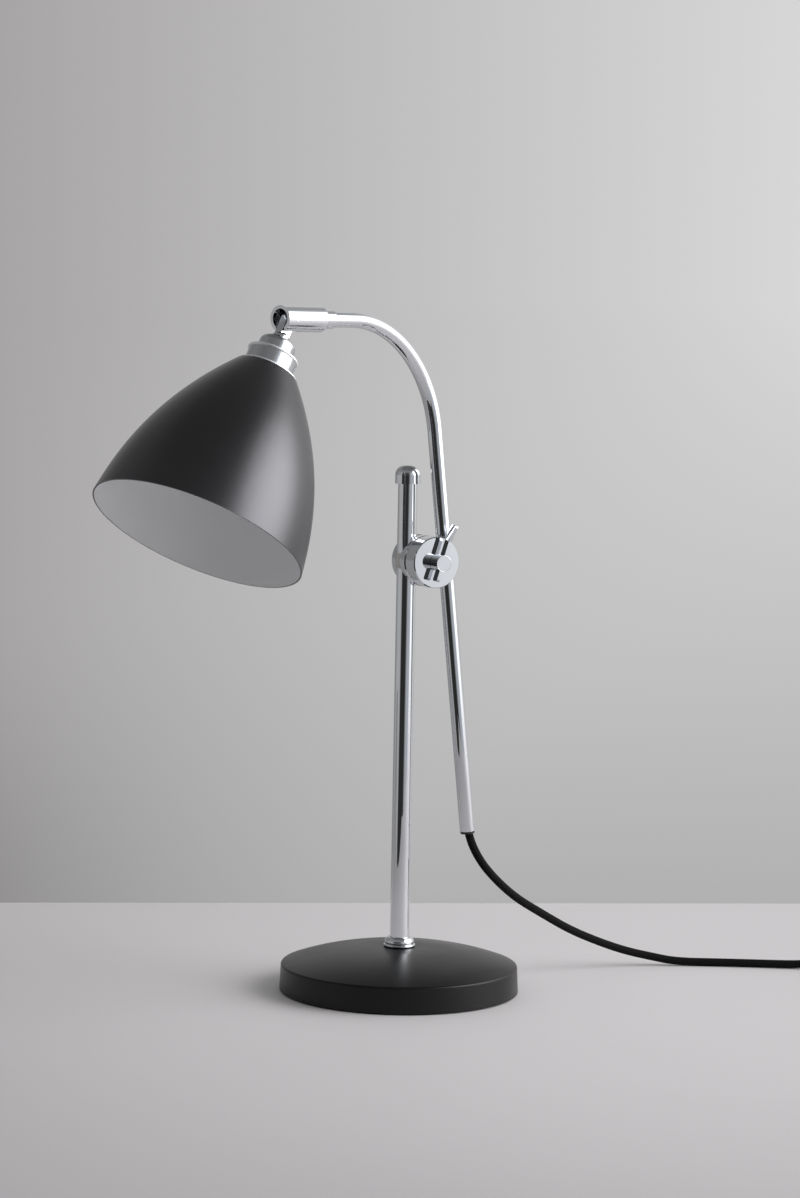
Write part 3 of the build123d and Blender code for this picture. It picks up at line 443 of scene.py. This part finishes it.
def turnedPiece(name, profile, foot, axis, sides, finish, closed):
    # a profile of (radius, distance along the axis) spun round the axis, a closed loop or with flat ends
    across = axis.orthogonal().normalized()
    above = axis.cross(across)
    verts, faces = [], []
    for radius, distance in profile:
        for side in range(sides):
            angle = 2 * pi * side / sides
            verts.append(foot + axis * distance + (across * cos(angle) + above * sin(angle)) * radius)
    for ring in range(len(profile) if closed else len(profile) - 1):
        ahead = (ring + 1) % len(profile)
        for side in range(sides):
            beside = (side + 1) % sides
            faces.append((ring * sides + side, ring * sides + beside, ahead * sides + beside, ahead * sides + side))
    if not closed:
        faces.append(tuple(reversed(range(sides))))
        faces.append(tuple(range((len(profile) - 1) * sides, len(profile) * sides)))
    mesh = bpy.data.meshes.new(name)
    mesh.from_pydata(verts, [], faces)
    mesh.shade_smooth()
    mesh.set_sharp_from_angle(angle=sharpFrom)
    mesh.materials.append(finish)
    piece = bpy.data.objects.new(name, mesh)
    scene.collection.objects.link(piece)
    return piece


# rolled lip on the holder's flange, where it lies on the shade
lipLook = {"down": 0.0384, "reach": 0.0190, "thick": 0.0015, "sides": 96, "section": 16}
# rounded front edge of the lever's boss
bossLook = {"down": 0.0097, "reach": 0.00523, "thick": 0.00034, "sides": 72, "section": 12}


def makeRing(name, look, foot, axis, body, finish):
    turns = [2 * pi * spot / look["section"] for spot in range(look["section"])]
    half = look["thick"] / 2
    profile = [(look["reach"] + half * cos(turn), look["down"] + half * sin(turn)) for turn in turns]
    piece = turnedPiece(name, profile, foot, axis, look["sides"], finish, True)
    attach(piece, body)


makeRing("flange_lip", lipLook, pinCentre, headAxis, "head", rimChromePaintedHighlight)
leverTurn = next(joint for joint in frame["record"]["behaviour"]["joints"] if joint["name"] == "lever_turn")
bossFoot = Vector(leverTurn["pos_m"])
bossFoot.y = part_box("clamp_front_jaw")[0][1]
makeRing("lever_boss_edge", bossLook, bossFoot, Vector((0, -1, 0)), "lever", chrome)

# collar at the post's foot: a half-round bead under a bulging neck
collarLook = {"bore": 0.0066, "bead": 0.00965, "round": 0.001, "neck": 0.0081, "high": 0.0065, "bulge": 0.0007,
              "steps": 12, "sides": 96}


def makeCollar(look):
    profile, steps = [(look["bore"], 0.0)], look["steps"]
    for step in range(steps + 1):
        turn = pi * (step / steps - 0.5)
        profile.append((look["bead"] + look["round"] * cos(turn), look["round"] * (1 + sin(turn))))
    for step in range(1, steps + 1):
        share = step / steps
        swell = look["bulge"] * 4 * share * (1 - share)
        profile.append((look["bead"] + (look["neck"] - look["bead"]) * share + swell,
                        2 * look["round"] + (look["high"] - 2 * look["round"]) * share))
    profile.append((look["bore"], look["high"]))
    foot = Vector((0, 0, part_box("post_collar")[0][2]))
    piece = turnedPiece("post_collar_turned", profile, foot, up, look["sides"], chrome, True)
    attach(piece, "base")
    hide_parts("post_collar")


makeCollar(collarLook)
print("turned trims made")


# cord

def routeLine(points, fineness):
    curve = bpy.data.curves.new("route", "CURVE")
    curve.dimensions = "3D"
    spline = curve.splines.new("NURBS")
    spline.points.add(len(points) - 1)
    for spot, point in zip(spline.points, points):
        spot.co = (*point, 1)
    spline.order_u = 3
    spline.use_endpoint_u = True
    spline.resolution_u = fineness
    holder = bpy.data.objects.new("route", curve)
    scene.collection.objects.link(holder)
    mesh = bpy.data.meshes.new_from_object(holder.evaluated_get(bpy.context.evaluated_depsgraph_get()))
    line = [v.co.copy() for v in mesh.vertices]
    bpy.data.objects.remove(holder)
    bpy.data.curves.remove(curve)
    bpy.data.meshes.remove(mesh)
    return line


def evenSteps(line, step):
    spots, lengths = [line[0]], [0.0]
    for before, after in zip(line, line[1:]):
        lengths.append(lengths[-1] + (after - before).length)
    count = max(2, round(lengths[-1] / step))
    place = 0
    for number in range(1, count):
        want = lengths[-1] * number / count
        while lengths[place + 1] < want:
            place += 1
        share = (want - lengths[place]) / (lengths[place + 1] - lengths[place])
        spots.append(line[place].lerp(line[place + 1], share))
    return spots + [line[-1]], lengths[-1]


def sideways(line):
    # a frame for each spot that doesn't spin along the line
    tangents = []
    for number in range(len(line)):
        ahead = line[min(number + 1, len(line) - 1)] - line[max(number - 1, 0)]
        tangents.append(ahead.normalized())
    across = tangents[0].orthogonal().normalized()
    frames = []
    for tangent in tangents:
        across = (across - tangent * across.dot(tangent)).normalized()
        frames.append((across, tangent.cross(across)))
    return frames


def weaveLift(travel, turn, look):
    # height of the yarn that lies on top at this spot, from 0 to 1
    step = weaveLook["crossings"] * travel / (look["pitch"] * mm)
    first, second = turn * look["yarns"] + step, turn * look["yarns"] - step
    over = (floor(first) + floor(second)) % 2
    return abs(sin(pi * first)) if over else abs(sin(pi * second))


def tubeMesh(name, line, frames, look, startTravel, step):
    sides, radius, lift = look["sides"], look["dia"] / 2, look["lift"]
    verts, faces, travels = [], [], []
    for number, (spot, (across, above)) in enumerate(zip(line, frames)):
        travel = startTravel + number * step
        travels.append(travel)
        for side in range(sides):
            turn = side / sides
            reach = radius - lift * (1 - weaveLift(travel, turn, blackBraid)) if lift else radius
            verts.append(spot + (across * cos(2 * pi * turn) + above * sin(2 * pi * turn)) * reach)
    for ring in range(len(line) - 1):
        for side in range(sides):
            beside = (side + 1) % sides
            faces.append((ring * sides + side, ring * sides + beside,
                          (ring + 1) * sides + beside, (ring + 1) * sides + side))
    mesh = bpy.data.meshes.new(name)
    mesh.from_pydata(verts, [], faces)
    uv = mesh.uv_layers.new(name="UVMap").data
    loop = 0
    for ring in range(len(line) - 1):
        for side in range(sides):
            for travel, turn in ((travels[ring], side), (travels[ring], side + 1),
                                 (travels[ring + 1], side + 1), (travels[ring + 1], side)):
                uv[loop].uv = (travel, turn / sides)
                loop += 1
    mesh.shade_smooth()
    mesh.materials.append(braid)
    piece = bpy.data.objects.new(name, mesh)
    scene.collection.objects.link(piece)
    return piece


cordLook = {"dia": 0.0056, "sides": 32, "step": 0.0005, "lift": 0.00016, "fineness": 48}
armUp = Vector((-0.11424, 0, 0.99345))
cordExit = Vector((41.52, -16.35, 106.41)) * mm
dropRoute = [
    (47, -15.2, 94.9), (60, -11.6, 78.8), (85, -4.2, 58.7), (111, 2.2, 44.2), (138, 6.7, 29.4),
    (163.6, 8.3, 18.5), (184.7, 6.8, 10.9), (202.3, 2.6, 6.5), (219, -4.8, 2.8), (247.9, -20.8, 2.8),
    (276.7, -38.6, 2.8), (293, -49.6, 3.1), (309, -60.9, 5.6), (322.6, -70.6, 7.5), (334, -78.9, 7.5),
]
insideArm = 0.015  # the lead starts inside the ferrule
straightTo = 0.003  # and runs straight to just short of its end
# the lead is one tube in sections, each spanning one joint between the two bodies given, by distance from the
# ferrule
leadSections = [
    ("cord_lead_slide", 0.019, ("arm_slider", "front_jaw")),
    ("cord_lead_tilt", 0.082, ("front_jaw", "clamp")),
    ("cord_lead_swing", 0.150, ("clamp", "carriage")),
    ("cord_lead_height", 0.205, ("carriage", "base")),
    ("cord_lead_floor", None, None),
]


def makeLead():
    route = [cordExit + armUp * insideArm, cordExit + armUp * straightTo]
    route += [Vector(point) * mm for point in dropRoute]
    line, whole = evenSteps(routeLine(route, cordLook["fineness"]), cordLook["step"])
    step = whole / (len(line) - 1)
    frames = sideways(line)
    pieces, begin = [], 0
    for name, until, bodies in leadSections:
        end = len(line) - 1 if until is None else round((until + insideArm) / step)
        piece = tubeMesh(name, line[begin:end + 1], frames[begin:end + 1], cordLook, begin * step, step)
        bendFrom = line[begin] if begin else cordExit
        if bodies:
            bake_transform(piece)
        else:
            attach(piece, "base")
        path = [tuple(spot) for spot in line[begin:end + 1]]
        pieces.append((piece, tuple(bendFrom), (end - begin) * step, path))
        begin = end
    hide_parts("cord_drop")
    print("lead", round(whole, 4), "m in", len(pieces), "sections")
    return pieces


lead = makeLead()

along = Vector((0.80846, -0.58855, 0))
left = up.cross(along)
coilLook = {"dia": 0.0056, "sides": 20, "step": 0.0009, "lift": 0.0, "fineness": 12,
            "reach": 0.041, "inset": 0.00305, "halves": 6, "perHalf": 8, "low": 0.0039, "high": 0.0100,
            # runs along the table and drops, in millimetres: off the switch, and off the coil to the plug
            "leadIn": ((10, 0), (13, -1.4), (13, -2.2), (10, 0)),
            "leadOut": ((10, 0), (12, -1.2), (12, -1.8), (10, 0))}
switchLong = 0.096  # with its two reliefs
switchSide = Vector(dropRoute[-1]) * mm
linkStart = switchSide + along * switchLong


def makeCoil(look):
    route = [linkStart]
    for run, rise in look["leadIn"]:
        route.append(route[-1] + (along * run + up * rise) * mm)
    middle = route[-1] + along * look["dia"] + left * look["reach"]
    middle.z = 0
    swell = 1 / cos(pi / look["perHalf"] / 2)  # the spline runs inside its points
    reach = look["reach"]

    def half(shift, radius, fromAngle, heights):
        for number in range(look["perHalf"]):
            angle = fromAngle + pi * (number + 0.5) / look["perHalf"]
            flat = left * -(shift + radius * swell * cos(angle)) + along * (radius * swell * sin(angle))
            route.append(middle + flat + up * heights((number + 0.5) / look["perHalf"]))

    for turn in range(look["halves"]):  # inwards on the table
        half(-(turn % 2) * look["inset"], reach, pi * (turn % 2), lambda share: look["low"])
        reach -= look["inset"]
    rise = look["high"] - look["low"]
    half(0, reach, 0, lambda share: look["low"] + rise * (0.5 - 0.5 * cos(pi * share)))
    for turn in range(look["halves"]):  # outwards on top
        side = (turn + 1) % 2
        reach += look["inset"]
        half(side * look["inset"], reach, pi * side, lambda share: look["high"])
    tail = middle + left * reach - along * look["dia"] + up * look["high"]
    route.append(tail)
    for run, drop in look["leadOut"]:
        route.append(route[-1] - along * run * mm + up * drop * mm)
    line, whole = evenSteps(routeLine(route, look["fineness"]), look["step"])
    step = whole / (len(line) - 1)
    piece = tubeMesh("cord_coiled_lead", line, sideways(line), look, 0.0, step)
    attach(piece, "base")
    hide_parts("cord_link", "cord_coil", "cord_tail")
    print("coiled lead", round(whole, 4), "m")
    return piece, whole, [tuple(spot) for spot in line], route[-1]


coil, coilLength, coilPath, plugTip = makeCoil(coilLook)

# strain reliefs, ribbed where the lead enters a housing
reliefLook = {"long": 0.020, "tip": 0.0068, "root": 0.0096, "ribs": 5, "rib": 0.0007, "sides": 40,
              "edge": (0.0006, 0.0004), "plain": 0.004, "firstRib": 0.001, "rootLong": 0.0025,
              "groove": ((0.15, 0), (0.3, 1), (0.55, 1), (0.7, 0))}  # shares of a rib's pitch, and how far sunk


def makeRelief(name, tip, axis, node):
    look = reliefLook
    profile = [(look["tip"] / 2 - look["edge"][0], 0.0), (look["tip"] / 2, look["edge"][1])]
    pitch = (look["long"] - look["plain"]) / look["ribs"]
    for rib in range(look["ribs"]):
        for share, sink in look["groove"]:
            distance = look["firstRib"] + pitch * (rib + share)
            radius = look["tip"] / 2 + (look["root"] - look["tip"]) / 2 * distance / look["long"]
            profile.append((radius - sink * look["rib"], distance))
    profile += [(look["root"] / 2, look["long"] - look["rootLong"]), (look["root"] / 2, look["long"])]
    piece = turnedPiece(name, profile, tip, axis, look["sides"], rubber, False)
    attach(piece, "base")
    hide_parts(node)
    return piece


reliefIn = makeRelief("switch_relief_in", switchSide, along, "relief_in")
reliefOut = makeRelief("switch_relief_out", linkStart, along * -1, "relief_out")
plugRelief = makeRelief("plug_relief_ribbed", plugTip, along * -1, "plug_relief")

switchPieces = [reliefIn, reliefOut] + [nodes[name] for name in (
    "switch_base", "switch_cover", "switch_screw_front", "switch_screw_rear", "switch_rocker")]
plugPieces = [plugRelief] + [nodes[name] for name in ("plug_body", "plug_pin_left", "plug_pin_right", "cord_tie")]
for piece in switchPieces + plugPieces + [coil]:
    piece.visible_glossy = False  # outside the picture, so the chrome doesn't mirror it
print("cord laid")

# table: ends in a straight back edge, as in the picture, with a further front part that metal doesn't mirror
tableLook = {"backLeft": (-0.1272, 0.4038), "backRight": (0.4452, 0.1593), "wide": 1.8, "far": 3.2,
             "cut": ((-0.50, 0.56), (-0.29, 0.78), (-0.16, 1.00), (-0.12, 1.09)),
             "colour": (0.669, 0.651, 0.658), "gloss": 0.25, "rough": 0.62, "grainSize": 420.0, "grainDeep": 0.00003,
             # falloff, falloffPower, bow and most shape the painted shade towards the front and the ends
             "cloudSize": 5.0, "cloudDim": 0.012, "falloff": 0.36, "falloffPower": 3.0, "bow": 0.92, "middle": 0.05,
             "most": (0.27, 0.16)}


def makeTable(look):
    finish, tree, shader = newFinish("tableTop", Specular_IOR_Level=look["gloss"], Roughness=look["rough"])
    grain = placeGroup(tree, mouldGrain, Grain_Size=look["grainSize"], Cloud_Size=look["cloudSize"])
    bumpFrom(tree, shader, grain.outputs["Grain"], look["grainDeep"])
    corner, other = Vector((*look["backLeft"], 0)), Vector((*look["backRight"], 0))
    edge = (other - corner).normalized()
    front = Vector((edge.y, -edge.x, 0))
    centre = (corner + other) / 2
    # painted shade: darker towards its front and its ends, where less light falls, with faint clouds
    spots = []
    for axis, begin in ((front, 0.0), (edge, look["middle"])):
        spots.append(calc(tree, "SUBTRACT", dotWith(tree, objectPlace(tree), axis), centre.dot(axis) + begin))
    ends = calc(tree, "MULTIPLY", calc(tree, "MULTIPLY", spots[1], spots[1]), look["bow"])
    paintedFrontShade = calc(tree, "POWER", calc(tree, "MAXIMUM", spots[0], 0.0), look["falloffPower"])
    paintedShade = calc(tree, "ADD", calc(tree, "MULTIPLY", paintedFrontShade, look["falloff"]), ends)
    least = addNode(tree, "ShaderNodeMath", operation="SMOOTH_MIN")  # no further than this, without a line
    link(tree, paintedShade, least.inputs[0])
    least.inputs[1].default_value, least.inputs[2].default_value = look["most"]
    paintedShade = calc(tree, "ADD", least.outputs[0], calc(tree, "MULTIPLY", grain.outputs["Cloud"], look["cloudDim"]))
    colourBetween(tree, shader, paintedShade, look["colour"], (0, 0, 0))
    # the front part starts nearer on the left, outside the picture
    wide, far, cut = look["wide"], look["far"], look["cut"]
    backs, fars = [(-wide, 0.0), (wide, 0.0)], [(-wide, far), (wide, far)]
    split = [(-wide, cut[0][1]), *cut, (wide, cut[-1][1])]
    for name, outline in (("table", backs + split[::-1]), ("tableFront", split + fars[::-1])):
        mesh = bpy.data.meshes.new(name)
        mesh.from_pydata([centre + edge * side + front * reach for side, reach in outline], [],
                         [tuple(reversed(range(len(outline))))])
        mesh.materials.append(finish)
        piece = bpy.data.objects.new(name, mesh)
        scene.collection.objects.link(piece)
        piece.visible_glossy = name == "table"


makeTable(tableLook)

# studio: a large soft key from the right with fading edges, and a grey room for the metal to mirror
roomLook = {
    # degrees right of the camera, as the lamp sees it, and how bright the room is there
    "low": [(-180, 0.40), (-150, 0.32), (-135, 0.29), (-120, 0.32), (-105, 0.44), (-90, 0.48), (-60, 0.46),
            (-54, 0.42), (-50, 0.28), (-46, 0.06), (-41, 0.03), (5, 0.03), (12, 0.10), (18, 0.34), (30, 0.50),
            (42, 0.50), (50, 0.54), (55, 0.62), (60, 1.1), (64, 1.25), (70, 1.2), (78, 0.85), (86, 0.75), (95, 1.0),
            (105, 0.81), (120, 0.68), (140, 0.62), (180, 0.40)],
    "high": [(-180, 0.64), (-165, 0.48), (-150, 0.31), (-138, 0.25), (-120, 0.23), (-105, 0.27), (-90, 0.34),
             (-60, 0.38), (-52, 0.30), (-44, 0.10), (-36, 0.05), (4, 0.06), (14, 0.20), (22, 0.42), (34, 0.62),
             (48, 0.80), (60, 1.05), (75, 1.35), (118, 1.22), (132, 1.0), (146, 0.68), (158, 0.66), (180, 0.64)],
    "full": 1.4,  # a ramp holds levels up to one, so they are shares of this
    "cool": {"from": 30, "to": 56, "tint": (0.93, 0.98, 1.06)},
    "turnOver": (-0.06, 0.08), "fadeUp": (0.32, 0.64), "panelRise": 0.10, "backRise": 0.16,
    "ceiling": (0.25, 0.252, 0.257), "zenith": (0.15, 0.149, 0.148), "zenithFrom": (0.68, 0.90),
    "ceilingGlow": (0.42, 0.42, 0.42),  # what matt things get from it
    # the wall: painted light brighter to the right, painted shade at its foot
    "wallLeft": (0.388, 0.377, 0.381), "wallRight": (0.684, 0.681, 0.682), "wallSweep": 8.0,
    "footLeft": (-0.20, -0.08, 0.72), "footRight": (-0.19, 0.01, 0.62), "footBow": 2.2, "bowFrom": -0.175,
    "wallMirrored": (-0.985, -0.96),
}
keyLook = {"aim": (-0.15, -0.075, 0.37), "angle": 85, "rise": 22, "away": 2.4, "size": (3.9, 3.3), "core": 0.25,
           "glow": 4.9, "colour": (0.985, 0.985, 1)}


def roomWay(angle, rise):
    # a direction by degrees right of the camera and degrees up
    level = toCamera * cos(radians(angle)) + toRight * sin(radians(angle))
    return level * cos(radians(rise)) + up * sin(radians(rise))


def makeSoftbox(name, look):
    light = bpy.data.objects.new(name, bpy.data.lights.new(name, "AREA"))
    scene.collection.objects.link(light)
    back = roomWay(look["angle"], look["rise"])
    across = up.cross(back).normalized()
    place = Vector(look["aim"]) + back * look["away"]
    light.matrix_world = Matrix.Translation(place) @ Matrix((across, back.cross(across), back)).transposed().to_4x4()
    light.data.shape = "RECTANGLE"
    light.data.size, light.data.size_y = look["size"]
    light.data.color = look["colour"]
    light.data.energy = look["glow"] * pi * look["size"][0] * look["size"][1]
    light.visible_camera = False
    # bright in the middle, fading to nothing at the edge
    light.data.use_nodes = True
    tree = light.data.node_tree
    offset = addNode(tree, "ShaderNodeVectorMath", operation="SUBTRACT")
    link(tree, addNode(tree, "ShaderNodeNewGeometry").outputs["Position"], offset.inputs[0])
    offset.inputs[1].default_value = place
    squares = []
    for axis, size in ((across, look["size"][0]), (back.cross(across), look["size"][1])):
        share = calc(tree, "ABSOLUTE", dotWith(tree, offset.outputs[0], axis / (size / 2)))
        squares.append(calc(tree, "POWER", share, 2.0))
    reach = calc(tree, "SQRT", calc(tree, "ADD", squares[0], squares[1]))
    link(tree, spread(tree, reach, look["core"], 1.0, 1.0, 0.0), tree.nodes["Emission"].inputs["Strength"])


def roundRamp(tree, turn, stops, full, cool):
    ramp = addNode(tree, "ShaderNodeValToRGB")
    link(tree, turn, ramp.inputs[0])
    marks = ramp.color_ramp.elements
    while len(marks) < len(stops):
        marks.new(0.5)
    for mark, (angle, level) in zip(marks, stops):
        mark.position = angle / 360 + 0.5
        tint = cool["tint"] if cool["from"] <= angle <= cool["to"] else (1, 1, 1)
        mark.color = (*(level / full * part for part in tint), 1)
    scaled = addNode(tree, "ShaderNodeVectorMath", operation="SCALE")
    link(tree, ramp.outputs[0], scaled.inputs[0])
    scaled.inputs["Scale"].default_value = full
    return scaled.outputs[0]


def makeRoom(look):
    world = bpy.data.worlds.new("room")
    world.use_nodes = True
    scene.world = world
    tree = world.node_tree
    ray = addNode(tree, "ShaderNodeTexCoord").outputs["Generated"]
    parts = addNode(tree, "ShaderNodeSeparateXYZ")
    link(tree, ray, parts.inputs[0])
    rise = parts.outputs["Z"]
    dots = [dotWith(tree, ray, axis) for axis in (toRight, toCamera)]
    turn = calc(tree, "ADD", calc(tree, "DIVIDE", calc(tree, "ARCTAN2", dots[0], dots[1]), 2 * pi), 0.5)
    low = roundRamp(tree, turn, look["low"], look["full"], look["cool"])
    high = roundRamp(tree, turn, look["high"], look["full"], look["cool"])
    room = blendColours(tree, spread(tree, rise, *look["turnOver"]), low, high)
    # the bright right side and the wall reach higher than the rest before the ceiling takes over
    panel = calc(tree, "MULTIPLY", calc(tree, "MAXIMUM", dots[0], 0.0), look["panelRise"])
    panel = calc(tree, "ADD", panel, calc(tree, "MULTIPLY", calc(tree, "MINIMUM", dots[1], 0.0), -look["backRise"]))
    path = addNode(tree, "ShaderNodeLightPath").outputs
    ceiling = blendColours(tree, spread(tree, rise, *look["zenithFrom"]), look["ceiling"], look["zenith"])
    ceiling = blendColours(tree, path["Is Diffuse Ray"], ceiling, look["ceilingGlow"])
    room = blendColours(tree, spread(tree, calc(tree, "SUBTRACT", rise, panel), *look["fadeUp"]), room, ceiling)
    # plain wall behind the table, that metal and glass show too, with painted light brighter to the right and
    # painted shade darker at its foot
    sweep = spread(tree, calc(tree, "MULTIPLY", dots[0], look["wallSweep"]), -1, 1, smooth=False)
    bow = calc(tree, "MULTIPLY", sweep, calc(tree, "SUBTRACT", 1.0, sweep))
    lower = spread(tree, rise, look["bowFrom"], 0, look["footBow"], 0, False)
    sweep = calc(tree, "ADD", sweep, calc(tree, "MULTIPLY", bow, lower))
    sides = []
    for colour, (foot, full, paintedShade), smooth in ((look["wallLeft"], look["footLeft"], True),
                                              (look["wallRight"], look["footRight"], False)):
        sides.append(blendColours(tree, spread(tree, rise, foot, full, smooth=smooth),
                                  tuple(part * paintedShade for part in colour), colour))
    wall = blendColours(tree, sweep, *sides)
    mirrored = calc(tree, "MAXIMUM", path["Is Glossy Ray"], path["Is Transmission Ray"])
    mirrored = calc(tree, "MULTIPLY", mirrored, spread(tree, dots[1], *look["wallMirrored"], 1.0, 0.0))
    seen = calc(tree, "MAXIMUM", path["Is Camera Ray"], mirrored)
    link(tree, blendColours(tree, seen, room, wall), tree.nodes["Background"].inputs["Color"])


makeRoom(roomLook)
makeSoftbox("keySoftbox", keyLook)
print("studio lit")
